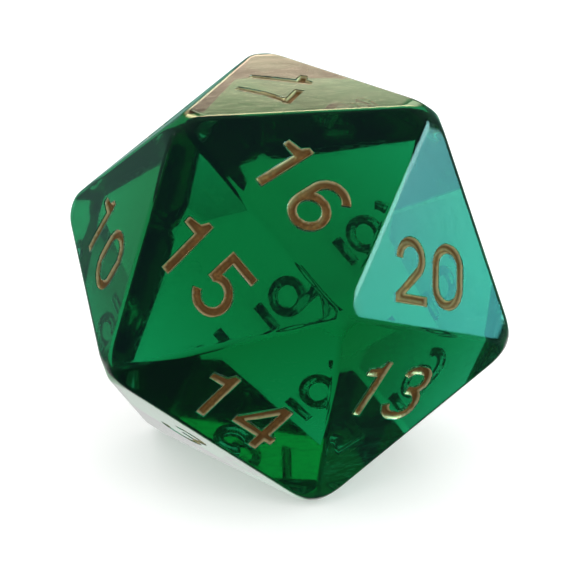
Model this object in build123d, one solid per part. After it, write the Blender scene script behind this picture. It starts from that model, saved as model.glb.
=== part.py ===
from build123d import *
import os
from math import sqrt

# A twenty-sided die. Frame: origin at the centre of the resting face (number 4), +Z up through
# the opposite face (number 17), -Y towards one corner of the resting face.

# ---- Driving dimensions, millimetres ----
across_flats = 22.0      # between two opposite faces
edge_radius = 0.70       # moulded and tumbled edges
corner_reach = 13.42     # from the die's centre to its tumbled corners
digit_height = 3.66
digit_width = 2.60
digit_pitch = 3.06       # from one digit's centre to the next one's
stroke = 0.50            # width of an engraved line
pocket_depth = 0.36      # engraving, measured from the face
paint_recess = 0.12      # the paint's surface lies this far below the face
mark_gap = 0.34          # from the 6 or 9 to the bar under it
apex_up_drop = 1.05      # numbers on faces that point up sit this far below the face's centre
side_drift = -0.30       # every number sits this far to the right (so 0.3 to the left) of its face's middle

# ---- Derived sizes ----
golden = (1 + sqrt(5)) / 2
inradius = across_flats / 2
edge = 2 * sqrt(3) * inradius / golden**2
cap_radius = edge / sqrt(3)              # circumcircle of one face
belt_radius = golden * cap_radius
belt_height = inradius / golden**3
half = stroke / 2
mark_width = 0.7 * digit_width
cutter_overrun = 1.0                     # how far a pocket's cutter stands out of the face

# ---- The twelve corners, about the die's own centre ----


def corner_triangle(radius, height, first_angle):
    """Three corners, a third of a turn apart."""
    return [Vector(radius, 0, height).rotate(Axis.Z, first_angle + 120 * i) for i in range(3)]


front_right, back, front_left = corner_triangle(cap_radius, inradius, -30)
belt_front, belt_right, belt_left = corner_triangle(belt_radius, belt_height, -90)

# The 20's family of faces turns about one corner of the top face.
pole = front_right
ring = [front_left, belt_front, -belt_left, belt_right, back]
cap_numbers = [16, 20, 19, 18, 17]       # faces that meet at the pole
belt_numbers = [15, 13, 11, 7, 9]        # faces across the cap's outer edges
opposite_sum = 21


def face_layout():
    """Each number's three corners and its upward direction. Opposite faces add up to 21."""
    layout = {}
    for i in range(5):
        near, far = ring[i], ring[(i + 1) % 5]
        outer = -ring[(i + 3) % 5]
        layout[cap_numbers[i]] = ([pole, near, far], pole, True)
        layout[belt_numbers[i]] = ([near, far, outer], outer, False)
        layout[opposite_sum - cap_numbers[i]] = ([-pole, -near, -far], -pole, False)
        layout[opposite_sum - belt_numbers[i]] = ([-near, -far, -outer], -outer, True)
    return layout


def number_plane(corners, apex, points_up):
    """The plane a number is drawn on: on the face, with Y up the number."""
    middle = (corners[0] + corners[1] + corners[2]) / 3
    outward = middle.normalized()
    up = (apex - middle).normalized() * (1 if points_up else -1)
    right = up.cross(outward)
    drop = apex_up_drop if points_up else 0
    return Plane(origin=middle - up * drop + right * side_drift, x_dir=right, z_dir=outward)


# ---- Digits: engraved lines of one width, drawn from the lower left of a digit's box ----


def engraved_line(*edges):
    """A line of the stroke's width along a chain of edges, kept inside the digit's box."""
    box = Pos(digit_width / 2, digit_height / 2) * Rectangle(digit_width, digit_height)
    return box & (Sketch() + trace(Curve(list(edges)), stroke))


def ring_shape(x, y, radius):
    """A closed round bowl whose line runs at this radius."""
    return Pos(x, y) * (Circle(radius + half) - Circle(radius - half))


def digit_0():
    """A long round-ended loop."""
    outer = SlotOverall(digit_height, digit_width, rotation=90)
    inner = SlotOverall(digit_height - 2 * stroke, digit_width - 2 * stroke, rotation=90)
    return Pos(digit_width / 2, digit_height / 2) * (outer - inner)


def digit_1():
    """An upright with a flag whose top edge slopes and whose lower edge is level."""
    right = 0.66 * digit_width
    left = right - stroke
    flag_left = left - 0.34 * digit_width
    flag_low = 0.72 * digit_height
    flag_high = 0.83 * digit_height
    outline = Polyline(
        (right, 0),
        (right, digit_height),
        (left + 0.3 * stroke, digit_height),
        (left - 0.2 * stroke, 0.88 * digit_height),
        (flag_left, flag_high),
        (flag_left, flag_low),
        (left, flag_low),
        (left, 0),
        close=True,
    )
    return make_face(outline)


def digit_2():
    """An open bowl, a straight diagonal and a base bar."""
    radius = 0.36 * digit_width
    middle = (0.47 * digit_width, digit_height - half - radius)
    bowl = CenterArc(middle, radius, -45, 225)
    toe = Vector(0.4 * half, half)
    diagonal = Line(bowl @ 0, toe)
    base = Line((0, half), (digit_width, half))
    return engraved_line(bowl) + engraved_line(diagonal) + engraved_line(base)


def digit_3():
    """Two bowls that share a short middle bar."""
    waist = 0.55 * digit_height
    top = digit_height - half
    upper = (top - waist) / 2
    lower = (waist - half) / 2
    right = 0.57 * digit_width
    left = 0.42 * digit_width
    upper_bowl = CenterArc((right, top - upper), upper, -90, 180)
    upper_end = CenterArc((left, top - upper), upper, 90, 75)
    lower_bowl = CenterArc((right, half + lower), lower, -90, 180)
    lower_end = CenterArc((left, half + lower), lower, -165, 75)
    bars = [Line((left, height), (right, height)) for height in (half, waist, top)]
    shapes = [engraved_line(line) for line in (upper_bowl, upper_end, lower_bowl, lower_end)]
    return Sketch() + shapes + [engraved_line(bar) for bar in bars]


def digit_4():
    """An upright, a cross-bar and a diagonal that closes a triangle."""
    bar_height = 0.30 * digit_height
    upright = 0.74 * digit_width
    bar = Line((0, bar_height), (digit_width, bar_height))
    stem = Line((upright, 0), (upright, digit_height))
    diagonal = Line((0.2 * half, bar_height), (upright - 0.4 * half, digit_height))
    return engraved_line(bar) + engraved_line(stem) + engraved_line(diagonal)


def digit_5():
    """A top bar, a short left side and an open bowl."""
    radius = 0.33 * digit_height - half
    middle = Vector(0.49 * digit_width, radius + half)
    bowl = CenterArc(middle, radius, -155, 290)
    side = Line(bowl @ 1, (0.26 * digit_width, digit_height))
    bar = Line((0.20 * digit_width, digit_height - half), (0.96 * digit_width, digit_height - half))
    return engraved_line(bowl) + engraved_line(side) + engraved_line(bar)


def digit_6():
    """A closed bowl with a tail that rises from its left side and bends over to the right."""
    radius = 0.325 * digit_height - half
    left = 0.5 * digit_width - radius
    bend = 0.5 * digit_width - half
    turn = digit_height - half - bend
    side = Line((left, radius + half), (left, turn))
    tail = CenterArc((left + bend, turn), bend, 42, 138)
    return ring_shape(digit_width / 2, radius + half, radius) + engraved_line(side) + engraved_line(tail)


def digit_7():
    """A top bar and a leg that falls from its right end in a slight curve."""
    top = digit_height - half
    bar = Line((0, top), (0.97 * digit_width, top))
    leg = ThreePointArc(
        (0.93 * digit_width, digit_height),
        (0.52 * digit_width, 0.52 * digit_height),
        (0.34 * digit_width, 0),
    )
    return engraved_line(bar) + engraved_line(leg)


def digit_8():
    """A smaller bowl standing on a larger one."""
    lower = 0.30 * digit_height - half
    upper = 0.27 * digit_height - half
    low_bowl = ring_shape(digit_width / 2, lower + half, lower)
    return low_bowl + ring_shape(digit_width / 2, digit_height - upper - half, upper)


def digit_9():
    """A 6 turned upside down."""
    return Pos(digit_width, digit_height) * Rot(0, 0, 180) * digit_6()


digit_shapes = [
    digit_0, digit_1, digit_2, digit_3, digit_4, digit_5, digit_6, digit_7, digit_8, digit_9,
]


def number_sketch(number):
    """A number centred on the origin. The 6 and the 9 stand on a bar that tells them apart."""
    digits = str(number)
    sketch = Sketch()
    for place, digit in enumerate(digits):
        middle = (place - (len(digits) - 1) / 2) * digit_pitch
        sketch += Pos(middle - digit_width / 2, -digit_height / 2) * digit_shapes[int(digit)]()
    if number in (6, 9):
        bar_middle = -digit_height / 2 - mark_gap - half
        sketch += Pos(0, bar_middle) * Rectangle(mark_width, stroke)
    return sketch


# ---- Solids ----


def rounded_body(layout):
    """A smaller sharp icosahedron grown outwards by the edge radius, with its corners tumbled."""
    shrink = (inradius - edge_radius) / inradius
    faces = []
    for corners, _, _ in layout.values():
        faces.append(Face(Wire.make_polygon([corner * shrink for corner in corners])))
    core = Solid(Shell(faces))
    return offset(core, amount=edge_radius, kind=Kind.ARC) & Sphere(corner_reach)


layout = face_layout()
body = rounded_body(layout)
paints = {}
for number, (corners, apex, points_up) in layout.items():
    floor = number_plane(corners, apex, points_up).offset(-pocket_depth)
    outline = floor * number_sketch(number)
    body -= extrude(outline, amount=pocket_depth + cutter_overrun)
    paints[number] = extrude(outline, amount=pocket_depth - paint_recess)

# ---- One file for each piece, stood on the resting face ----
stand = Pos(0, 0, inradius)
os.makedirs("parts", exist_ok=True)
export_step(stand * body, "parts/die_body.step")
for number, paint in paints.items():
    export_step(stand * paint, f"parts/number_{number:02d}_paint.step")
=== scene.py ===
# %% [markdown]
# # A twenty-sided die in clear green resin
# A gaming die is one moulded block. Its faces are ground flat, its edges are tumbled round, and the
# numbers are grooves with copper paint left in them. The CAD model gives the size, the place and the
# twenty paint fills. This lesson rebuilds both kinds of piece with surfaces fine enough for glass,
# because a clear block shows every flaw of its mesh twice: once outside and once through itself.

# %% Load the frame
import math

import bmesh
import bpy
import numpy as np
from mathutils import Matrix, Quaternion, Vector
from mathutils.geometry import delaunay_2d_cdt


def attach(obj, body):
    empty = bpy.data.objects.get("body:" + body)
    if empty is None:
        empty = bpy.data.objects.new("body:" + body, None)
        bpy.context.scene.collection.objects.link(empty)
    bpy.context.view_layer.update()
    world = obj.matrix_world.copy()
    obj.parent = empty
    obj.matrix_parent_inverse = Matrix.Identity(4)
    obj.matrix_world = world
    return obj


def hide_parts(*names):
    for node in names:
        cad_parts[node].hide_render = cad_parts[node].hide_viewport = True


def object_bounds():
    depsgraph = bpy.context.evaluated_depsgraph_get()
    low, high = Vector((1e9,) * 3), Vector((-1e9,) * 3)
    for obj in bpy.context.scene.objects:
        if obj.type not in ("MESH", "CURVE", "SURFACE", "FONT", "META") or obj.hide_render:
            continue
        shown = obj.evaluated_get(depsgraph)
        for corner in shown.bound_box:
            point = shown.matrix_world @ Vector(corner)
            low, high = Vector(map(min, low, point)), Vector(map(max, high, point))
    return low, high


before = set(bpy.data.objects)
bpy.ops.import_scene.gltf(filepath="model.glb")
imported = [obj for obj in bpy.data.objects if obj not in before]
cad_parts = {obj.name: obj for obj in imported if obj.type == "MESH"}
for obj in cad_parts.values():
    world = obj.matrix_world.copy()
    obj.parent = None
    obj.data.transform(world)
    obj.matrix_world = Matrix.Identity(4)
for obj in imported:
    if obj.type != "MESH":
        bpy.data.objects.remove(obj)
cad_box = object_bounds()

MM = 0.001
print("CAD box, mm:", [[round(c / MM, 2) for c in corner] for corner in cad_box])

# %% [markdown]
# ## The driving sizes
# Everything follows from the distance across the flats, which is the CAD box's height. The golden ratio
# gives the edge and the places of the twelve corners. The small sizes are those of a tumbled die: edges
# rounded to about a twentieth of an edge, grooves a third of a millimetre deep, and paint that has sunk
# a little in the middle of each groove, as paint does when it dries.

# %% Sizes, in millimetres
INRADIUS = (cad_box[1].z - cad_box[0].z) / MM / 2
GOLDEN = (1 + math.sqrt(5)) / 2
EDGE = 2 * math.sqrt(3) * INRADIUS / GOLDEN**2
EDGE_RADIUS = 0.70
CORNER_REACH = 13.36
CORNER_BLEND = 0.50
DIGIT_HEIGHT = 3.66
DIGIT_WIDTH = 2.60
DIGIT_PITCH = 3.06
STROKE = 0.50
HALF = STROKE / 2
GROOVE_DEPTH = 0.36
RIM_RADIUS = 0.05
PAINT_EDGE = 0.035
PAINT_MIDDLE = 0.25
PAINT_BITE = 0.012
MARK_GAP = 0.34
APEX_UP_DROP = 1.05
SIDE_DRIFT = -0.30
OPPOSITE_SUM = 21
print("edge", round(EDGE, 3), "mm, across the flats", round(2 * INRADIUS, 3), "mm")

# %% [markdown]
# ## The twelve corners and the twenty numbers
# Seen from above, the corners lie in four triangles: the top face, two wider ones round the belt, and the
# resting face. One corner of the top face is the pole of the high numbers: five faces meet there, five
# more hang on their outer edges, and the other ten are the opposites of these, because two opposite
# numbers add up to 21. Building the layout from that rule needs only two short lists.

# %% Corners and faces


def corner_triangle(radius, height, first_angle):
    """Three corners a third of a turn apart, on a circle of this radius at this height."""
    angle = np.radians(first_angle + 120 * np.arange(3))
    return np.column_stack([radius * np.cos(angle), radius * np.sin(angle), np.full(3, height)])


def unit(vectors):
    """Each row divided by its length."""
    return vectors / np.linalg.norm(vectors, axis=-1, keepdims=True)


cap_radius = EDGE / math.sqrt(3)
front_right, back, front_left = corner_triangle(cap_radius, INRADIUS, -30)
belt_front, belt_right, belt_left = corner_triangle(GOLDEN * cap_radius, INRADIUS / GOLDEN**3, -90)
pole = front_right
ring = [front_left, belt_front, -belt_left, belt_right, back]
CAP_NUMBERS = [16, 20, 19, 18, 17]
BELT_NUMBERS = [15, 13, 11, 7, 9]


def face_layout():
    """Number -> its three corners, the corner its digits are lined up with, and whether they point to it."""
    layout = {}
    for i in range(5):
        near, far = ring[i], ring[(i + 1) % 5]
        outer = -ring[(i + 3) % 5]
        layout[CAP_NUMBERS[i]] = ([pole, near, far], pole, True)
        layout[BELT_NUMBERS[i]] = ([near, outer, far], outer, False)
        layout[OPPOSITE_SUM - CAP_NUMBERS[i]] = ([-pole, -far, -near], -pole, False)
        layout[OPPOSITE_SUM - BELT_NUMBERS[i]] = ([-near, -far, -outer], -outer, True)
    return layout


def face_plane(corners, apex, points_up):
    """A face's middle, its right, up and outward directions, and where the number's centre lies on it."""
    middle = np.mean(corners, axis=0)
    outward = unit(middle)
    up = unit(apex - middle) * (1 if points_up else -1)
    right = np.cross(up, outward)
    centre = np.array([SIDE_DRIFT, -APEX_UP_DROP if points_up else 0.0])
    return middle, right, up, outward, centre


faces = face_layout()
planes = {number: face_plane(*faces[number]) for number in faces}
print("faces:", sorted(faces))

# %% [markdown]
# ## Digits as pen strokes
# The engraver's cutter has one width, so each digit is a few centre lines with a width laid over them.
# A typeface would be simpler, but none matches a die's plain numerals, and a stroke gives even walls.
# A stroke's outline moves every point of its centre line half a width to both sides, along the mitre.

# %% Pen strokes


def arc(centre, radius, start, sweep):
    """Points on a circle from the start angle through the sweep, in degrees, one about every 8 degrees."""
    angle = np.radians(np.linspace(start, start + sweep, max(3, int(abs(sweep) / 8) + 1)))
    return np.column_stack([centre[0] + radius * np.cos(angle), centre[1] + radius * np.sin(angle)])


def pen(*pieces):
    """Outline of a line of the stroke's width: the path's points, each moved to its left and right along
    the sum of its two edge normals divided by one plus their product, then kept inside the digit's box."""
    path = np.vstack([np.asarray(piece, float).reshape(-1, 2) for piece in pieces])
    keep = np.r_[True, np.linalg.norm(np.diff(path, axis=0), axis=1) > 1e-6]
    path = path[keep]
    along = unit(np.diff(path, axis=0))
    normal = np.column_stack([-along[:, 1], along[:, 0]])
    before, after = np.vstack([normal[:1], normal]), np.vstack([normal, normal[-1:]])
    mitre = (before + after) / (1 + np.sum(before * after, axis=1, keepdims=True))
    outline = np.vstack([path - HALF * mitre, (path + HALF * mitre)[::-1]])
    return np.clip(outline, 0, [DIGIT_WIDTH, DIGIT_HEIGHT])


def loop_strip(centre, radius, straight=0.0):
    """A closed bowl as two pens: half a round-ended loop, its mirror image, and one step of overlap."""
    half = arc((0, straight / 2), radius, 0, 180)
    mirror = half * [1, -1]
    top = np.vstack([mirror[1], mirror[0], half, mirror[-1], mirror[-2]])
    return [pen(top + centre), pen((top * [1, -1])[::-1] + centre)]


# %% The ten digits
TOP = DIGIT_HEIGHT - HALF
MID_X = DIGIT_WIDTH / 2


def digit_0():
    """A long round-ended loop."""
    radius = MID_X - HALF
    return loop_strip((MID_X, DIGIT_HEIGHT / 2), radius, DIGIT_HEIGHT - DIGIT_WIDTH)


def digit_1():
    """An upright with a flag whose top edge slopes and whose lower edge is level."""
    right = 0.66 * DIGIT_WIDTH
    left = right - STROKE
    tip = left - 0.34 * DIGIT_WIDTH
    low, high = 0.72 * DIGIT_HEIGHT, 0.83 * DIGIT_HEIGHT
    return [np.array([
        (right, 0), (right, DIGIT_HEIGHT), (left + 0.3 * STROKE, DIGIT_HEIGHT),
        (left - 0.2 * STROKE, 0.88 * DIGIT_HEIGHT), (tip, high), (tip, low), (left, low), (left, 0),
    ])]


def digit_2():
    """An open bowl, a straight diagonal and a base bar."""
    radius = 0.36 * DIGIT_WIDTH
    bowl = arc((0.47 * DIGIT_WIDTH, TOP - radius), radius, 180, -225)
    return [pen(bowl, (0.4 * HALF, HALF)), pen((0, HALF), (DIGIT_WIDTH, HALF))]


def digit_3():
    """Two bowls that share a short middle bar."""
    waist = 0.55 * DIGIT_HEIGHT
    upper, lower = (TOP - waist) / 2, (waist - HALF) / 2
    right, left = 0.57 * DIGIT_WIDTH, 0.42 * DIGIT_WIDTH
    top_bowl = pen(
        arc((left, TOP - upper), upper, 165, -75), arc((right, TOP - upper), upper, 90, -180), (left, waist))
    low_bowl = pen(
        (left, waist), arc((right, HALF + lower), lower, 90, -180),
        arc((left, HALF + lower), lower, -90, -75))
    return [top_bowl, low_bowl]


def digit_4():
    """An upright, a cross-bar and a diagonal that closes a triangle."""
    bar, upright = 0.30 * DIGIT_HEIGHT, 0.74 * DIGIT_WIDTH
    return [
        pen((0, bar), (DIGIT_WIDTH, bar)),
        pen((upright, 0), (upright, DIGIT_HEIGHT)),
        pen((0.2 * HALF, bar), (upright - 0.4 * HALF, DIGIT_HEIGHT)),
    ]


def digit_5():
    """A top bar, a short left side and an open bowl."""
    radius = 0.33 * DIGIT_HEIGHT - HALF
    bowl = arc((0.49 * DIGIT_WIDTH, radius + HALF), radius, 135, -290)
    side = pen((0.26 * DIGIT_WIDTH, DIGIT_HEIGHT), bowl[0] - [0.0, 0.6 * HALF])
    return [side, pen(bowl), pen((0.20 * DIGIT_WIDTH, TOP), (0.96 * DIGIT_WIDTH, TOP))]


def digit_6():
    """A closed bowl with a tail that rises from its left side and bends over to the right."""
    radius = 0.325 * DIGIT_HEIGHT - HALF
    left = MID_X - radius
    bend = MID_X - HALF
    tail = pen((left, radius + HALF), arc((left + bend, TOP - bend), bend, 180, -138))
    return loop_strip((MID_X, radius + HALF), radius) + [tail]


def digit_7():
    """A top bar and a leg that falls from its right end in a slight curve."""
    t = np.linspace(0, 1, 10)[:, None]
    start, bend, foot = np.array([[0.93, 1.0], [0.42, 0.52], [0.34, 0.0]]) * [DIGIT_WIDTH, DIGIT_HEIGHT]
    leg = (1 - t) ** 2 * start + 2 * t * (1 - t) * bend + t**2 * foot
    return [pen((0, TOP), (0.97 * DIGIT_WIDTH, TOP)), pen(leg)]


def digit_8():
    """A smaller bowl standing on a larger one."""
    lower, upper = 0.30 * DIGIT_HEIGHT - HALF, 0.27 * DIGIT_HEIGHT - HALF
    return loop_strip((MID_X, HALF + lower), lower) + loop_strip((MID_X, TOP - upper), upper)


def digit_9():
    """A 6 turned upside down."""
    return [np.array([DIGIT_WIDTH, DIGIT_HEIGHT]) - outline for outline in digit_6()]


DIGITS = [digit_0, digit_1, digit_2, digit_3, digit_4, digit_5, digit_6, digit_7, digit_8, digit_9]


def number_strokes(number):
    """All the stroke outlines of a number centred on (0, 0). The 6 and the 9 stand on a bar."""
    digits = str(number)
    strokes = []
    for place, digit in enumerate(digits):
        shift = [(place - (len(digits) - 1) / 2) * DIGIT_PITCH - DIGIT_WIDTH / 2, -DIGIT_HEIGHT / 2]
        strokes += [outline + shift for outline in DIGITS[int(digit)]()]
    if number in (6, 9):
        reach, low = 0.35 * DIGIT_WIDTH, -DIGIT_HEIGHT / 2 - MARK_GAP - STROKE
        strokes.append(np.array([(-reach, low), (reach, low), (reach, low + STROKE), (-reach, low + STROKE)]))
    return strokes


print("strokes in 16:", len(number_strokes(16)))

# %% [markdown]
# ## From strokes to one outline
# The strokes overlap, and the groove needs the outline of them all together. A constrained Delaunay
# triangulation says which strokes cover each of its triangles, so the covered triangles are the groove,
# and the sides that only one of them uses are its outline. A boolean would do it too, but slower and
# with less say over the points. The same helper later fills each face around its grooves.

# %% Flat triangulation helpers
STROKE_SNAP = 0.002
FINE_SNAP = 0.00001
MITRE_FLOOR = 0.35


def triangulate(points, edges=(), polygons=(), snap=FINE_SNAP):
    """Delaunay triangles of flat points that keep the given edges, and which polygons cover each one."""
    result = delaunay_2d_cdt([Vector(p) for p in points], list(edges), list(polygons), 0, snap)
    flat = np.array([tuple(v) for v in result[0]])
    corners = np.array(result[2])
    side_a = flat[corners[:, 1]] - flat[corners[:, 0]]
    side_b = flat[corners[:, 2]] - flat[corners[:, 0]]
    clockwise = side_a[:, 0] * side_b[:, 1] - side_a[:, 1] * side_b[:, 0] < 0
    corners[clockwise] = corners[clockwise][:, ::-1]
    covered = np.array([len(owners) > 0 for owners in result[5]])
    return flat, corners, covered


def border(corners, count):
    """The sides, from point to point, that only one of these triangles uses; the inside is on their left."""
    sides = np.vstack([corners[:, [0, 1]], corners[:, [1, 2]], corners[:, [2, 0]]])
    forward, backward = sides[:, 0] * count + sides[:, 1], sides[:, 1] * count + sides[:, 0]
    return sides[~np.isin(forward, backward)]


def inside(points, loop_points, loop_sides):
    """Even-odd rule: a point is inside if a ray to its right crosses the loops an odd number of times."""
    a, b = loop_points[loop_sides[:, 0]], loop_points[loop_sides[:, 1]]
    x, y = points[:, 0:1], points[:, 1:2]
    spans = (a[:, 1] > y) != (b[:, 1] > y)
    slope = (b[:, 0] - a[:, 0]) / np.where(b[:, 1] == a[:, 1], 1, b[:, 1] - a[:, 1])
    return np.sum(spans & (x < a[:, 0] + slope * (y - a[:, 1])), axis=1) % 2 == 1


def distance_to(points, loop_points, loop_sides):
    """Shortest distance from each point to the loops' sides."""
    a, b = loop_points[loop_sides[:, 0]], loop_points[loop_sides[:, 1]]
    along = b - a
    share = np.einsum("pkd,kd->pk", points[:, None] - a, along) / np.sum(along**2, axis=1)
    nearest = a + np.clip(share, 0, 1)[..., None] * along
    return np.linalg.norm(points[:, None] - nearest, axis=2).min(axis=1)


def lattice(low, high, pitch):
    """A triangular lattice of points over a rectangle."""
    rows = np.arange(low[1], high[1], pitch * math.sqrt(3) / 2)
    columns = np.arange(low[0], high[0], pitch)
    x = columns[None, :] + np.where(np.arange(len(rows)) % 2, pitch / 2, 0)[:, None]
    return np.column_stack([x.ravel(), np.repeat(rows, len(columns))])


class Outline:
    """A number's outline: its points, sides, covered triangles, and mitres pointing out of the groove. A
    mitre is the sum of two side normals over half that sum's square, which MITRE_FLOOR keeps off zero."""

    def __init__(self, number):
        strokes = number_strokes(number)
        sizes = np.cumsum([0] + [len(s) for s in strokes])
        polygons = [list(range(a, b)) for a, b in zip(sizes[:-1], sizes[1:])]
        flat, corners, covered = triangulate(np.vstack(strokes), (), polygons, STROKE_SNAP)
        used, packed = np.unique(corners[covered], return_inverse=True)
        self.points, self.triangles = flat[used], packed.reshape(-1, 3)
        self.sides = border(self.triangles, len(used))
        step = unit(self.points[self.sides[:, 1]] - self.points[self.sides[:, 0]])
        normal = np.column_stack([step[:, 1], -step[:, 0]])
        total = np.zeros_like(self.points)
        np.add.at(total, self.sides[:, 0], normal)
        np.add.at(total, self.sides[:, 1], normal)
        product = np.sum(total**2, axis=1, keepdims=True) / 2
        self.mitre = total / np.maximum(product, MITRE_FLOOR)
        self.rim = np.unique(self.sides)


outlines = {number: Outline(number) for number in faces}
print("outline of 20:", len(outlines[20].sides), "sides,", len(outlines[20].triangles), "triangles")

# %% [markdown]
# ## The block, patch by patch
# A rolling ball makes a good moulded edge. The sharp shape is shrunk, and a ball of the edge radius is
# rolled over it: each face stays flat, each edge becomes part of a cylinder and each corner part of a
# ball. A bevel modifier gives the same outline, but its long triangles bend the normals of the flats,
# and clear resin shows that at once. So each patch here carries its own exact normals. Tumbling wears
# the corners more than the edges, so a smooth minimum then draws in whatever stands out too far.

# %% Collecting and welding patches
SHRINK = (INRADIUS - EDGE_RADIUS) / INRADIUS
EDGE_STEPS = 40
ROUND_STEPS = 10
CORNER_RINGS = 7
RIM_STEPS = 4
WELD = 0.0004
SLIVER = 0.0005
TUMBLED_PITCH = 0.15
TUMBLED_CLEAR = 0.06
TUMBLED_MARGIN = 0.1
RIM_WEAR = 0.3


class Shell:
    """Patches of surface, each with its points, outward normals and wear, kept until they are welded."""

    def __init__(self):
        self.points, self.normals, self.wear, self.faces, self.count = [], [], [], [], 0

    def add(self, points, normals, wear, polygons):
        self.points.append(points)
        self.normals.append(np.broadcast_to(normals, points.shape))
        self.wear.append(np.broadcast_to(wear, len(points)))
        self.faces += (np.asarray(polygons) + self.count).tolist()
        self.count += len(points)


def grid_quads(rows, columns):
    """The four corners of every cell of a grid whose points are stored row by row."""
    first = (np.arange(rows - 1)[:, None] * columns + np.arange(columns - 1)).ravel()
    return np.column_stack([first, first + 1, first + columns + 1, first + columns])


def slerp(a, b, share):
    """The unit vector that lies this share of the way from a to b along the great circle."""
    angle = math.acos(float(np.clip(np.dot(a, b), -1, 1)))
    share = np.asarray(share)[..., None]
    return (np.sin((1 - share) * angle) * a + np.sin(share * angle) * b) / math.sin(angle)


def tumble(points, normals):
    """Smooth minimum of each point's distance from the centre and the corner reach. A radial squeeze
    stretches the surface unequally along and across the radius, so the normals take the inverse of it."""
    distance = np.linalg.norm(points, axis=1, keepdims=True)
    share = np.clip(0.5 + 0.5 * (CORNER_REACH - distance) / CORNER_BLEND, 0, 1)
    drawn = CORNER_REACH + (distance - CORNER_REACH) * share - CORNER_BLEND * share * (1 - share)
    radial = points / distance
    along = np.sum(normals * radial, axis=1, keepdims=True) * radial
    turned = (normals - along) * distance / drawn + along / np.maximum(share, 0.05)
    return radial * drawn, unit(turned)


def place(shell, plane, flat, height, normals, wear, polygons):
    """Adds a patch drawn on a face: flat points, heights over the face and normals in the face's axes."""
    middle, right, up, outward, centre = plane
    axes = np.array([right, up, outward])
    points = middle + np.column_stack([flat + centre, np.broadcast_to(height, len(flat))]) @ axes
    shell.add(*tumble(points, np.broadcast_to(normals, points.shape) @ axes), wear, polygons)


# %% One flat face with its groove


def face_border(corners, plane):
    """The flat's edge: points along its three sides, close together near the corners by a cosine rule."""
    middle, right, up, outward, centre = plane
    tips = np.array([[(c * SHRINK - middle) @ right, (c * SHRINK - middle) @ up] for c in corners])
    share = (1 - np.cos(np.pi * np.arange(EDGE_STEPS) / EDGE_STEPS))[:, None] / 2
    sides = [tips[i] * (1 - share) + tips[(i + 1) % 3] * share for i in range(3)]
    return np.vstack(sides) - centre


def corner_points(border_loop, loop_sides, centre):
    """Extra points where tumbling bends the flat, a lattice kept clear of the flat's own border."""
    points = lattice(border_loop.min(axis=0), border_loop.max(axis=0), TUMBLED_PITCH)
    reach = np.hypot(np.linalg.norm(points + centre, axis=1), INRADIUS)
    points = points[reach > CORNER_REACH - CORNER_BLEND - TUMBLED_MARGIN]
    clear = distance_to(points, border_loop, loop_sides) > TUMBLED_CLEAR
    return points[clear & inside(points, border_loop, loop_sides)]


def add_face(shell, number):
    """The flat round the groove, the rolled rim, the groove's wall and its floor."""
    corners, plane, outline = faces[number][0], planes[number], outlines[number]
    loop = face_border(corners, plane)
    count = len(loop)
    loop_sides = np.column_stack([np.arange(count), (np.arange(count) + 1) % count])
    extra = corner_points(loop, loop_sides, plane[4])
    lip = outline.points + outline.mitre * RIM_RADIUS
    renumber = np.cumsum(np.isin(np.arange(len(lip)), outline.rim)) - 1
    lip_sides = renumber[outline.sides]
    lip = lip[outline.rim]
    points = np.vstack([loop, lip, extra])
    flat, triangles, _ = triangulate(points, np.vstack([loop_sides, lip_sides + count]).tolist())
    middles = flat[triangles].mean(axis=1)
    kept = ~inside(middles, lip, lip_sides) & (distance_to(middles, loop, loop_sides) > SLIVER)
    place(shell, plane, flat, 0.0, [0, 0, 1.0], 0.0, triangles[kept])

    base, away = outline.points[outline.rim], outline.mitre[outline.rim]
    turn = np.radians(np.linspace(0, 90, RIM_STEPS + 1))
    offsets = np.r_[RIM_RADIUS * (1 - np.sin(turn)), 0.0]
    heights = np.r_[RIM_RADIUS * (np.cos(turn) - 1), -GROOVE_DEPTH]
    lean, rise = np.r_[np.sin(turn), 1.0], np.r_[np.cos(turn), 0.0]
    levels = len(offsets)
    flat = (base[None] + away[None] * offsets[:, None, None]).reshape(-1, 2)
    towards = -unit(away)[None] * lean[:, None, None]
    normals = np.dstack([towards, np.broadcast_to(rise[:, None, None], (levels, len(base), 1))])
    a, b = lip_sides[:, 0], lip_sides[:, 1]
    step = len(base)
    quads = [np.column_stack([a, b, b + step, a + step]) + level * step for level in range(levels - 1)]
    wear = np.repeat(np.r_[np.full(RIM_STEPS + 1, RIM_WEAR), 0.0], step)
    place(shell, plane, flat, np.repeat(heights, step), normals.reshape(-1, 3), wear, np.vstack(quads))

    floor_normals = np.tile([0.0, 0.0, 1.0], (len(outline.points), 1))
    floor_normals[outline.rim] = np.column_stack([-unit(away), np.zeros(step)])
    place(shell, plane, outline.points, -GROOVE_DEPTH, floor_normals, 0.0, outline.triangles)


# %% Rounded edges and corners


def add_edges(shell):
    """Thirty part cylinders. Along the edge: a straight line between two shrunk corners. Across it: the
    edge radius along a direction that turns from one face's normal to the other's."""
    along = ((1 - np.cos(np.pi * np.arange(EDGE_STEPS + 1) / EDGE_STEPS)) / 2)[:, None, None]
    across = np.linspace(0, 1, ROUND_STEPS + 1)
    worn = np.tile(np.sin(np.pi * across), EDGE_STEPS + 1)
    numbers = sorted(faces)
    for i, first in enumerate(numbers):
        for second in numbers[i + 1:]:
            shared = [a for a in faces[first][0] for b in faces[second][0] if np.allclose(a, b)]
            if len(shared) == 2:
                direction = slerp(planes[first][3], planes[second][3], across)[None]
                centre = (shared[0] * (1 - along) + shared[1] * along) * SHRINK
                points = (centre + EDGE_RADIUS * direction).reshape(-1, 3)
                normals = np.broadcast_to(direction, (EDGE_STEPS + 1,) + direction.shape[1:]).reshape(-1, 3)
                quads = grid_quads(EDGE_STEPS + 1, ROUND_STEPS + 1)
                shell.add(*tumble(points, normals), worn, quads)


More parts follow.
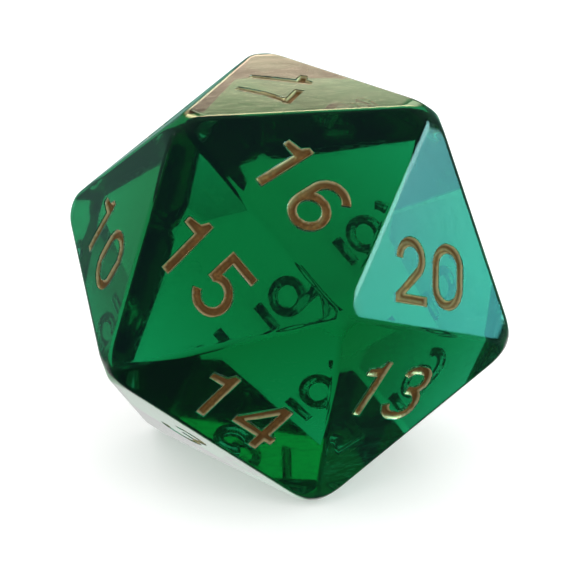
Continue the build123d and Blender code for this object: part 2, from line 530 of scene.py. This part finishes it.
def add_corners(shell):
    """Twelve ball patches: directions spread from the corner's own out to the ring of five face normals."""
    for corner in [*ring, *[-c for c in ring], pole, -pole]:
        touching = [planes[n][3] for n in faces if any(np.allclose(corner, c) for c in faces[n][0])]
        axis = unit(corner)
        side = unit(np.cross(axis, touching[0]))
        turn = [math.atan2(n @ side, n @ np.cross(side, axis)) for n in touching]
        touching = [touching[k] for k in np.argsort(turn)]
        share = np.arange(ROUND_STEPS) / ROUND_STEPS
        loop = [slerp(touching[k], touching[(k + 1) % 5], share) for k in range(5)]
        loop = np.vstack(loop + [touching[:1]])
        spread = np.linspace(0, 1, CORNER_RINGS + 1)[:, None, None]
        direction = unit(axis * (1 - spread) + loop[None] * spread).reshape(-1, 3)
        quads = grid_quads(CORNER_RINGS + 1, len(loop))
        shell.add(*tumble(corner * SHRINK + EDGE_RADIUS * direction, direction), 1.0, quads)


# %% Weld the patches into one closed block


def write_mesh(name, points, polygons, attributes, weld=0.0):
    """Points in millimetres about the die's centre become a mesh in metres, standing on the floor. Points
    that meet are welded, faces are turned outwards, and each attribute keeps one value per point."""
    mesh = bpy.data.meshes.new(name)
    mesh.from_pydata((points + [0, 0, INRADIUS]) * MM, [], polygons)
    for key, (kind, values) in attributes.items():
        field = "vector" if kind == "FLOAT_VECTOR" else "value"
        mesh.attributes.new(key, kind, "POINT").data.foreach_set(field, np.ravel(values).astype(np.float32))
    work = bmesh.new()
    work.from_mesh(mesh)
    bmesh.ops.remove_doubles(work, verts=work.verts, dist=weld * MM)
    bmesh.ops.recalc_face_normals(work, faces=work.faces)
    open_sides = sum(1 for e in work.edges if len(e.link_faces) != 2)
    volume = work.calc_volume() / MM**3
    work.to_mesh(mesh)
    work.free()
    piece = bpy.data.objects.new(name, mesh)
    bpy.context.scene.collection.objects.link(piece)
    mesh.polygons.foreach_set("use_smooth", np.ones(len(mesh.polygons), bool))
    return piece, open_sides, volume


def make_block():
    """The whole clear block, with its exact normals set on every corner of every face."""
    shell = Shell()
    for number in sorted(faces):
        add_face(shell, number)
    add_edges(shell)
    add_corners(shell)
    attributes = {
        "true_normal": ("FLOAT_VECTOR", np.vstack(shell.normals)),
        "edge_wear": ("FLOAT", np.concatenate(shell.wear)),
    }
    piece, open_sides, volume = write_mesh(
        "clear_green_block", np.vstack(shell.points), shell.faces, attributes, WELD)
    mesh = piece.data
    normals = np.zeros(len(mesh.vertices) * 3, np.float32)
    mesh.attributes["true_normal"].data.foreach_get("vector", normals)
    mesh.normals_split_custom_set_from_vertices(normals.reshape(-1, 3).tolist())
    mesh.attributes.remove(mesh.attributes["true_normal"])
    print(f"block: {len(mesh.polygons)} faces, {open_sides} open sides, {volume:.1f} mm3")
    return piece


block = make_block()
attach(block, "root")
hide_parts("die_body")

# %% [markdown]
# ## The paint in the grooves
# Number paint is brushed over the die and wiped off the flats, so it stays only in the grooves. It wets
# the walls and sinks in the middle, which leaves a trough; its paler lips are a painted highlight. A flat
# fill would look printed. The trough's depth is a function of the distance to the groove's wall, so it
# turns every corner by itself. The paint reaches a hair's breadth into the resin, so no gap shows from
# inside.

# %% Paint troughs
TROUGH_POWER = 2.2
FILL_PITCH = 0.075
FILL_CLEAR = 0.035
SHARP_ANGLE = 50.0


def trough_depth(distance):
    """Shallow at the wall and deepest half a stroke away from it, along a power of the remaining share."""
    left = 1 - np.clip(distance / HALF, 0, 1)
    return PAINT_EDGE + (PAINT_MIDDLE - PAINT_EDGE) * (1 - left**TROUGH_POWER)


def make_paint(number):
    """One number's paint: a trough on top, a wall just inside the resin, and a flat underside."""
    plane, outline = planes[number], outlines[number]
    renumber = np.cumsum(np.isin(np.arange(len(outline.points)), outline.rim)) - 1
    sides = renumber[outline.sides]
    wall = (outline.points + outline.mitre * PAINT_BITE)[outline.rim]
    fill = lattice(wall.min(axis=0), wall.max(axis=0), FILL_PITCH)
    fill = fill[inside(fill, wall, sides)]
    fill = fill[distance_to(fill, wall, sides) > FILL_CLEAR]
    shell = Shell()
    flat, triangles, _ = triangulate(np.vstack([wall, fill]), sides.tolist())
    kept = triangles[inside(flat[triangles].mean(axis=1), wall, sides)]
    distance = distance_to(flat, wall, sides)
    depth = trough_depth(distance)
    place(shell, plane, flat, -depth, [0, 0, 1.0], 1 - np.clip(distance / HALF, 0, 1), kept)
    top_count = shell.count
    floor, triangles, _ = triangulate(wall, sides.tolist())
    kept = triangles[inside(floor[triangles].mean(axis=1), wall, sides)]
    place(shell, plane, floor, -GROOVE_DEPTH - PAINT_BITE, [0, 0, 1.0], 0.0, kept[:, ::-1])
    count = len(wall)
    heights = np.repeat([-PAINT_EDGE, -GROOVE_DEPTH - PAINT_BITE], count)
    a, b = sides[:, 0], sides[:, 1]
    quads = np.column_stack([b, a, a + count, b + count])
    place(shell, plane, np.vstack([wall, wall]), heights, [0, 0, 1.0], 1.0, quads)
    # lip drives the painted highlight near the walls; underside marks the faces that are painted pale, a
    # painted light
    attributes = {
        "lip": ("FLOAT", np.concatenate(shell.wear)),
        "underside": ("FLOAT", (np.arange(shell.count) >= top_count) * 1.0),
    }
    piece, open_sides, volume = write_mesh(
        f"paint_in_{number:02d}", np.vstack(shell.points), shell.faces, attributes, WELD)
    piece.data.set_sharp_from_angle(angle=math.radians(SHARP_ANGLE))
    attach(piece, "root")
    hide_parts(f"number_{number:02d}_paint")
    print(f"paint {number}: {len(piece.data.polygons)} faces, {open_sides} open sides, {volume:.2f} mm3")
    return piece


paints = [make_paint(number) for number in sorted(faces)]

# %% [markdown]
# ## Finishes as node groups
# Both finishes need the same two effects: uneven soft patches, where fingers or a brush have been, and
# fine lines, which are polishing scratches on the resin and brush marks in the paint. Each is made once
# as a node group that puts out a mask and a height, and each material calls it with its own sizes. The
# patterns read Object coordinates, so they are cut from space and never stretch over an edge.

# %% Node helpers


def add_node(tree, kind, settings=None, **inputs):
    """A new node. Settings are its own properties. Inputs go by name, or by _number where names repeat, and
    each is a number, a colour or another node's output."""
    made = tree.nodes.new(kind)
    for key, value in (settings or {}).items():
        setattr(made, key, value)
    for key, value in inputs.items():
        socket = made.inputs[int(key[1:])] if key[0] == "_" else made.inputs[key.replace("_", " ")]
        if isinstance(value, bpy.types.NodeSocket):
            tree.links.new(value, socket)
        else:
            socket.default_value = value
    return made


def new_group(name, inputs, outputs):
    """A shader node group with named inputs, each with its type and starting value, and named outputs."""
    tree = bpy.data.node_groups.new(name, "ShaderNodeTree")
    for label, kind, value in inputs:
        socket = tree.interface.new_socket(label, in_out="INPUT", socket_type=kind)
        if value is not None:
            socket.default_value = value
    for label in outputs:
        tree.interface.new_socket(label, in_out="OUTPUT", socket_type="NodeSocketFloat")
    return tree, tree.nodes.new("NodeGroupInput").outputs, tree.nodes.new("NodeGroupOutput").inputs


def ramp(tree, value, low, high, start=0.0, end=1.0):
    """The value's range low..high mapped smoothly to start..end."""
    return add_node(
        tree, "ShaderNodeMapRange", {"interpolation_type": "SMOOTHSTEP"},
        Value=value, From_Min=low, From_Max=high, To_Min=start, To_Max=end).outputs[0]


def math_node(tree, operation, first, second):
    """One arithmetic step on two values."""
    return add_node(tree, "ShaderNodeMath", {"operation": operation}, _0=first, _1=second).outputs[0]


def mix_colour(tree, share, first, second):
    """The first colour where the share is 0, the second where it is 1."""
    return add_node(tree, "ShaderNodeMix", {"data_type": "RGBA"}, _0=share, _6=first, _7=second).outputs[2]


def noise(tree, vector, scale, detail, distortion=0.0):
    """Soft noise with so many cells per metre."""
    return add_node(
        tree, "ShaderNodeTexNoise", None,
        Vector=vector, Scale=scale, Detail=detail, Distortion=distortion).outputs["Fac"]


# %% Shared effect 1: uneven patches
VALUE, VECTOR = "NodeSocketFloat", "NodeSocketVector"


def patches_group():
    """Two noises multiplied: broad patches broken up by a finer one. Mask is 0 to 1, Height is centred."""
    tree, given, result = new_group(
        "uneven patches",
        [("Vector", VECTOR, None), ("Broad", VALUE, 250.0), ("Fine", VALUE, 1500.0), ("Worn", VALUE, 0.0)],
        ["Mask", "Height"])
    broad = noise(tree, given["Vector"], given["Broad"], 2.0, 0.4)
    fine = noise(tree, given["Vector"], given["Fine"], 4.0)
    patch = math_node(tree, "MULTIPLY", ramp(tree, broad, 0.38, 0.68), ramp(tree, fine, 0.30, 0.75))
    total = add_node(
        tree, "ShaderNodeMath", {"operation": "ADD", "use_clamp": True}, _0=patch, _1=given["Worn"])
    tree.links.new(total.outputs[0], result["Mask"])
    tree.links.new(math_node(tree, "SUBTRACT", broad, 0.5), result["Height"])
    return tree


patches = patches_group()
print("group:", patches.name, [item.name for item in patches.interface.items_tree])

# %% Shared effect 2: fine lines


def lines_group():
    """Noise on a space squeezed along one axis, so its cells are long hairs; only the thin crests count."""
    tree, given, result = new_group(
        "fine lines",
        [("Vector", VECTOR, None), ("Scale", VALUE, 900.0), ("Squeeze", VECTOR, (1.0, 8.0, 3.0)),
         ("Turn", VECTOR, (0.4, 0.9, 0.3)), ("Sharpness", VALUE, 0.06)],
        ["Mask", "Height"])
    turned = add_node(
        tree, "ShaderNodeMapping", {"vector_type": "POINT"},
        Vector=given["Vector"], Rotation=given["Turn"], Scale=given["Squeeze"]).outputs[0]
    hair = noise(tree, turned, given["Scale"], 3.0, 0.2)
    from_middle = math_node(tree, "SUBTRACT", hair, 0.5)
    off_crest = add_node(tree, "ShaderNodeMath", {"operation": "ABSOLUTE"}, _0=from_middle).outputs[0]
    crest = math_node(tree, "SUBTRACT", 1.0, math_node(tree, "DIVIDE", off_crest, given["Sharpness"]))
    mask = math_node(tree, "MAXIMUM", crest, 0.0)
    tree.links.new(mask, result["Mask"])
    tree.links.new(math_node(tree, "MULTIPLY", mask, -1.0), result["Height"])
    return tree


lines = lines_group()
print("group:", lines.name, [item.name for item in lines.interface.items_tree])

# %% [markdown]
# ## Clear green resin
# The colour of clear resin isn't on its surface: light is taken away along its path, so thin corners are
# pale and long paths are nearly black. Tinted glass paint would be one even green. So the surface is
# colourless glass, and a volume inside absorbs red most, blue less and green least. What the surface has
# of its own is finish: moulded waviness, tumbled edges a little duller than the flats, and scratches.

# %% Resin material
RESIN_IOR = 1.53
ABSORPTION = 340.0
ABSORPTION_COLOUR = (0.02, 0.768, 0.568, 1.0)
CLEAR = (1.0, 1.0, 1.0, 1.0)
HANDLED_TINT = (0.93, 0.97, 0.95, 1.0)
POLISHED, DULLED = 0.012, 0.09


def new_material(name):
    """An empty node material, its tree and its output node."""
    made = bpy.data.materials.new(name)
    made.use_nodes = True
    made.node_tree.nodes.clear()
    return made, made.node_tree, made.node_tree.nodes.new("ShaderNodeOutputMaterial")


def resin_material():
    """Colourless glass surface round an absorbing volume, with uneven gloss from patches, lines and wear."""
    made, tree, output = new_material("clear green resin")
    place_on = add_node(tree, "ShaderNodeTexCoord").outputs["Object"]
    worn = add_node(tree, "ShaderNodeAttribute", {"attribute_name": "edge_wear"}).outputs["Fac"]
    handled = add_node(tree, "ShaderNodeGroup", {"node_tree": patches}, Vector=place_on, Broad=190.0,
                       Fine=2600.0, Worn=math_node(tree, "MULTIPLY", worn, 0.35)).outputs
    hairs = add_node(tree, "ShaderNodeGroup", {"node_tree": lines}, Vector=place_on, Scale=520.0,
                     Sharpness=0.012).outputs
    dull = math_node(tree, "ADD", handled["Mask"], math_node(tree, "MULTIPLY", hairs["Mask"], 0.5))
    tint = mix_colour(tree, handled["Mask"], CLEAR, HANDLED_TINT)
    wavy = add_node(tree, "ShaderNodeBump", None, Strength=0.25, Distance=0.00006, Height=handled["Height"])
    scratched = add_node(
        tree, "ShaderNodeBump", None, Strength=0.12, Distance=0.000004, Height=hairs["Height"],
        Normal=wavy.outputs[0])
    surface = add_node(
        tree, "ShaderNodeBsdfPrincipled", None, Base_Color=tint, Metallic=0.0, IOR=RESIN_IOR,
        Transmission_Weight=1.0, Roughness=ramp(tree, dull, 0.0, 1.0, POLISHED, DULLED),
        Normal=scratched.outputs[0])
    inside_it = add_node(
        tree, "ShaderNodeVolumeAbsorption", None, Color=ABSORPTION_COLOUR, Density=ABSORPTION)
    tree.links.new(surface.outputs[0], output.inputs["Surface"])
    tree.links.new(inside_it.outputs[0], output.inputs["Volume"])
    return made


resin = resin_material()
block.data.materials.append(resin)
print("light left after 10 mm, red green blue:",
      [round(math.exp(-ABSORPTION * (1 - c) * 0.010), 3) for c in ABSORPTION_COLOUR[:3]])

# %% [markdown]
# ## Copper paint
# Number paint is metal flakes in a thick lacquer. In the trough it is deeper, rougher and browner. Near
# the walls its colour turns pale gold, a painted highlight for the light that the groove's rim catches.
# The `lip` attribute, 1 at the wall and 0 in the middle of the trough, drives that change, broken up by
# patches so the paint looks brushed in, not printed. The flakes are a fine cell pattern, with lines for
# the brush. Through the resin one sees the paint's underside, which dried against the groove: dull and
# even. Its much paler colour is painted light that lifts its shade. It is also so thin that light from
# behind comes through it, so of a far number mostly the groove's outline shows.

# %% Paint material
TROUGH_BROWN = (0.165, 0.070, 0.014, 1.0)
COPPER = (0.34, 0.155, 0.040, 1.0)
# painted highlight colour for the paint's lips
PAINTED_HIGHLIGHT_GOLD = (0.85, 0.62, 0.34, 1.0)
# painted light: a pale colour that lifts the shade on the paint's underside
UNDERSIDE_PAINTED_LIGHT = (0.90, 0.88, 0.82, 1.0)
SEE_THROUGH = 0.85


def paint_material():
    """Half-metallic copper lacquer, brown in the trough, with a painted highlight of pale gold at the lips.
    It has fine flakes and brush lines, and from inside the resin it is see-through and painted pale, a
    painted light that lifts its shade."""
    made, tree, output = new_material("copper number paint")
    place_on = add_node(tree, "ShaderNodeTexCoord").outputs["Object"]
    lip = add_node(tree, "ShaderNodeAttribute", {"attribute_name": "lip"}).outputs["Fac"]
    brushed = add_node(tree, "ShaderNodeGroup", {"node_tree": patches}, Vector=place_on, Broad=900.0,
                       Fine=5200.0).outputs
    strokes_in_it = add_node(tree, "ShaderNodeGroup", {"node_tree": lines}, Vector=place_on, Scale=1400.0,
                             Sharpness=0.05).outputs
    flakes = add_node(
        tree, "ShaderNodeTexVoronoi", {"feature": "F1"}, Vector=place_on, Scale=9000.0).outputs
    # painted highlight: the lip value, broken by patches, turns the colour pale gold near the walls
    broken_lip_highlight = math_node(tree, "SUBTRACT", lip, math_node(tree, "MULTIPLY", brushed["Mask"], 0.30))
    brown = mix_colour(tree, brushed["Mask"], TROUGH_BROWN, COPPER)
    golden = mix_colour(tree, ramp(tree, broken_lip_highlight, 0.45, 0.95), brown, PAINTED_HIGHLIGHT_GOLD)
    under = add_node(tree, "ShaderNodeAttribute", {"attribute_name": "underside"}).outputs["Fac"]
    under = ramp(tree, under, 0.5, 1.0)
    # painted light: the underside is painted pale, which lifts its shade as seen through the resin
    colour = mix_colour(tree, under, golden, UNDERSIDE_PAINTED_LIGHT)
    from_inside = add_node(tree, "ShaderNodeNewGeometry").outputs["Backfacing"]
    from_inside = math_node(tree, "MAXIMUM", from_inside, under)
    cover = math_node(tree, "SUBTRACT", 1.0, math_node(tree, "MULTIPLY", from_inside, SEE_THROUGH))
    metal = math_node(
        tree, "MULTIPLY", ramp(tree, lip, 0.2, 1.0, 0.45, 0.7), math_node(tree, "SUBTRACT", 1.0, under))
    rough = math_node(
        tree, "ADD", ramp(tree, lip, 0.3, 1.0, 0.46, 0.30),
        math_node(tree, "MULTIPLY", flakes["Distance"], 0.12))
    height = math_node(
        tree, "ADD", brushed["Height"], math_node(tree, "MULTIPLY", strokes_in_it["Height"], 0.35))
    uneven = add_node(tree, "ShaderNodeBump", None, Strength=0.5, Distance=0.00003, Height=height)
    flaky = add_node(
        tree, "ShaderNodeBump", None, Strength=0.25, Distance=0.000006, Height=flakes["Distance"],
        Normal=uneven.outputs[0])
    surface = add_node(
        tree, "ShaderNodeBsdfPrincipled", None, Base_Color=colour, Metallic=metal, Roughness=rough,
        Alpha=cover, Normal=flaky.outputs[0])
    tree.links.new(surface.outputs[0], output.inputs["Surface"])
    return made


copper = paint_material()
for paint in paints:
    paint.data.materials.append(copper)
print("materials:", resin.name, "and", copper.name)

# %% [markdown]
# ## A white table
# Clear things are shown on white: the table behind is what one sees through the resin, so it has to be
# bright and even. It is large enough to fill the view, and it isn't part of the object. It doesn't show
# in the die's glossy reflections, which keeps the flats deep and clear. A gap of a fiftieth of a
# millimetre keeps it apart from the resting face, so a ray out of the resin meets it.
# A faint glow of its own, for the camera only, lifts the die's soft shadow as a light table does.

# %% Floor
FLOOR_HALF = 3.0
FLOOR_GAP = 0.02 * MM
FLOOR_SHADE = (0.86, 0.86, 0.855, 1.0)
SHADOW_LIFT = 0.45


def make_floor():
    """A square of flat white card under the die."""
    mesh = bpy.data.meshes.new("white_table")
    square = np.array([(-1, -1, 0), (1, -1, 0), (1, 1, 0), (-1, 1, 0)]) * FLOOR_HALF - [0, 0, FLOOR_GAP]
    mesh.from_pydata(square, [], [(0, 1, 2, 3)])
    made, tree, output = new_material("white card")
    place_on = add_node(tree, "ShaderNodeTexCoord").outputs["Object"]
    fibres = noise(tree, place_on, 400.0, 3.0)
    bump = add_node(tree, "ShaderNodeBump", None, Strength=0.05, Distance=0.0001, Height=fibres)
    surface = add_node(
        tree, "ShaderNodeBsdfPrincipled", None, Base_Color=FLOOR_SHADE, Roughness=0.9,
        Specular_IOR_Level=0.1, Normal=bump.outputs[0])
    lifted = add_node(
        tree, "ShaderNodeEmission", None, Color=FLOOR_SHADE, Strength=math_node(
            tree, "MULTIPLY", add_node(tree, "ShaderNodeLightPath").outputs["Is Camera Ray"], SHADOW_LIFT))
    both = add_node(tree, "ShaderNodeAddShader", None, _0=surface.outputs[0], _1=lifted.outputs[0])
    tree.links.new(both.outputs[0], output.inputs["Surface"])
    made.cycles.emission_sampling = "NONE"
    mesh.materials.append(made)
    table = bpy.data.objects.new("white_table", mesh)
    bpy.context.scene.collection.objects.link(table)
    table.visible_glossy = False
    return table


floor = make_floor()
print("floor:", [round(d, 2) for d in floor.dimensions])

# %% [markdown]
# ## Soft boxes
# Each flat of a die is a small mirror that shows one patch of the room. So the light is placed by asking
# where each flat looks: warm boxes behind for the top, a cool one to the right for the right-hand flat, a
# small one to the left for a glint on a corner, and nothing large in front, where a light would hide the
# depth of the resin behind a grey veil. The lamp overhead shines only through the resin. A box is a plane
# whose glow fades towards its borders, because a hard border would draw a line across a flat.

# %% Soft box helper
DIE_MIDDLE = (cad_box[0] + cad_box[1]) / 2


def direction(azimuth, elevation):
    """The unit vector that points this many degrees round from +X and this many above level."""
    a, e = math.radians(azimuth), math.radians(elevation)
    return Vector((math.cos(a) * math.cos(e), math.sin(a) * math.cos(e), math.sin(e)))


def soft_box(name, azimuth, elevation, distance, spread, lower, upper, change=(0.2, 0.8), fade=0.25,
             through=False):
    """A glowing plane that faces the die. Its half width and half height are the distance times the tangent
    of the spread angles. Its colour runs from lower to upper between the two heights in change, and its
    glow falls smoothly to 0 at the borders. It shows in mirrored light, or else only through the resin."""
    way = direction(azimuth, elevation)
    across = Vector((-way.y, way.x, 0)).normalized() * distance * math.tan(math.radians(spread[0]))
    up = way.cross(across).normalized() * distance * math.tan(math.radians(spread[1]))
    middle = DIE_MIDDLE + way * distance
    mesh = bpy.data.meshes.new(name)
    mesh.from_pydata([middle - across - up, middle + across - up, middle + across + up, middle - across + up],
                     [], [(0, 3, 2, 1)])
    layer = mesh.uv_layers.new(name="glow")
    layer.data.foreach_set("uv", np.array([(0, 0), (0, 1), (1, 1), (1, 0)], np.float32).ravel())
    made, tree, output = new_material(name)
    spot = add_node(tree, "ShaderNodeUVMap", {"uv_map": "glow"}).outputs[0]
    u, v, _ = add_node(tree, "ShaderNodeSeparateXYZ", None, Vector=spot).outputs
    edges = [
        ramp(tree, u, 0.0, fade), ramp(tree, u, 1.0, 1.0 - fade),
        ramp(tree, v, 0.0, fade), ramp(tree, v, 1.0, 1.0 - fade),
    ]
    glow = edges[0]
    for edge in edges[1:]:
        glow = math_node(tree, "MULTIPLY", glow, edge)
    colour = mix_colour(tree, ramp(tree, v, *change), (*lower, 1), (*upper, 1))
    light = add_node(tree, "ShaderNodeEmission", None, Color=colour, Strength=glow)
    tree.links.new(light.outputs[0], output.inputs["Surface"])
    made.cycles.emission_sampling = "NONE"
    mesh.materials.append(made)
    box = bpy.data.objects.new(name, mesh)
    bpy.context.scene.collection.objects.link(box)
    box.visible_camera = False
    box.visible_diffuse = False
    box.visible_shadow = False
    box.visible_transmission = through
    box.visible_glossy = not through
    return box


# %% The soft boxes
boxes = [
    soft_box("warm_box_behind", 77, 27, 0.5, (18, 19), (2.0, 2.1, 1.45), (8.0, 6.4, 3.9), (0.46, 0.62)),
    soft_box("rosy_box_low", 80, 13.5, 0.49, (14, 7), (4.3, 3.35, 2.5), (4.3, 3.35, 2.5), fade=0.4),
    soft_box("peach_box_left", 90, 23, 0.48, (8, 8), (2.6, 1.2, 0.9), (2.6, 1.2, 0.9), fade=0.45),
    soft_box("cool_box_right", -14, 18, 0.5, (20, 30), (0.85, 4.6, 4.7), (4.5, 10.0, 9.8), (0.26, 0.52)),
    soft_box("glint_left", 157, 31, 0.5, (2, 2), (40, 44, 44), (40, 44, 44)),
    soft_box("lamp_overhead", -82, 76, 0.5, (7, 7), (2.6, 2.6, 2.6), (2.6, 2.6, 2.6), fade=0.2,
             through=True),
]
print("soft boxes:", [box.name for box in boxes])

# %% [markdown]
# ## The room
# Beyond the boxes the room is pale behind the die and dark in front, where the viewer stands. The pale
# half is what shines through the resin. Mirrored light is kept lower, as a polarising filter does in a
# studio, so the flats stay deep and clear. Card on a table gathers light from everywhere, so rays that
# left a dull surface find an even white sky.

# %% World
PALE = (0.95, 0.96, 0.95, 1.0)
DARK = (0.45, 0.45, 0.45, 1.0)
MIRRORED_BACK = (0.15, 0.34, 0.28, 1.0)
MIRRORED_FRONT = (0.06, 0.20, 0.19, 1.0)
MIRRORED_LOW = (0.04, 0.15, 0.11, 1.0)
SKY = (1.18, 1.18, 1.18, 1.0)


def make_world():
    """White to the camera and to dull surfaces. To clear ones it goes by direction, pale behind and dark in
    front, with one pair of shades for light that comes through and a darker pair for mirrored light. What
    is mirrored from below is darkest, except for the table's far half, which is pale."""
    world = bpy.data.worlds.new("studio")
    world.use_nodes = True
    tree = world.node_tree
    tree.nodes.clear()
    output = tree.nodes.new("ShaderNodeOutputWorld")
    towards = add_node(tree, "ShaderNodeTexCoord").outputs["Generated"]
    _, back_to_front, height = add_node(tree, "ShaderNodeSeparateXYZ", None, Vector=towards).outputs
    ray = add_node(tree, "ShaderNodeLightPath").outputs
    side = ramp(tree, back_to_front, -0.35, 0.30)
    through = mix_colour(tree, side, DARK, PALE)
    mirrored = mix_colour(tree, side, MIRRORED_FRONT, MIRRORED_BACK)
    mirrored = mix_colour(tree, ramp(tree, height, -0.40, -0.70), mirrored, MIRRORED_LOW)
    table = math_node(tree, "MULTIPLY", ramp(tree, height, -0.25, -0.45), ramp(tree, back_to_front, 0.3, 0.6))
    mirrored = mix_colour(tree, table, mirrored, PALE)
    clear = mix_colour(tree, ray["Is Transmission Ray"], mirrored, through)
    even = math_node(tree, "MAXIMUM", ray["Is Camera Ray"], ray["Is Diffuse Ray"])
    colour = mix_colour(tree, even, clear, SKY)
    background = add_node(tree, "ShaderNodeBackground", None, Color=colour, Strength=1.0)
    tree.links.new(background.outputs[0], output.inputs["Surface"])
    world.cycles.sampling_method = "NONE"
    return world


scene = bpy.context.scene
scene.world = make_world()
scene.view_settings.view_transform = "Standard"
scene.view_settings.look = "None"
scene.cycles.max_bounces = 24
scene.cycles.transmission_bounces = 24
scene.cycles.glossy_bounces = 16
print("world:", scene.world.name, "light bounces:", scene.cycles.max_bounces)

# %% [markdown]
# ## The camera
# The die is small, so it is looked at from about a hand's length away through a long lens, a little
# above it and slightly left of the front corner. That keeps the opposite edges almost parallel.

# %% Camera
CAMERA_AZIMUTH = -103.10
CAMERA_ELEVATION = 20.99
CAMERA_DISTANCE = 0.15453
CAMERA_LENS = 168.0
CAMERA_ROLL = 1.12
LOOK_AT = DIE_MIDDLE + Vector((0.00002, -0.00034, -0.00083))


def make_camera():
    """A camera on the given direction from the die's middle, aimed at LOOK_AT and rolled by a small angle."""
    data = bpy.data.cameras.new("camera")
    data.lens = CAMERA_LENS
    data.sensor_width = 36.0
    data.clip_start, data.clip_end = 0.005, 20.0
    camera = bpy.data.objects.new("camera", data)
    bpy.context.scene.collection.objects.link(camera)
    camera.location = DIE_MIDDLE + direction(CAMERA_AZIMUTH, CAMERA_ELEVATION) * CAMERA_DISTANCE
    aim = (LOOK_AT - camera.location).to_track_quat("-Z", "Y")
    camera.rotation_mode = "QUATERNION"
    camera.rotation_quaternion = aim @ Quaternion((0, 0, 1), math.radians(CAMERA_ROLL))
    return camera


scene.camera = make_camera()
print("camera at, mm:", [round(c / MM, 1) for c in scene.camera.location])
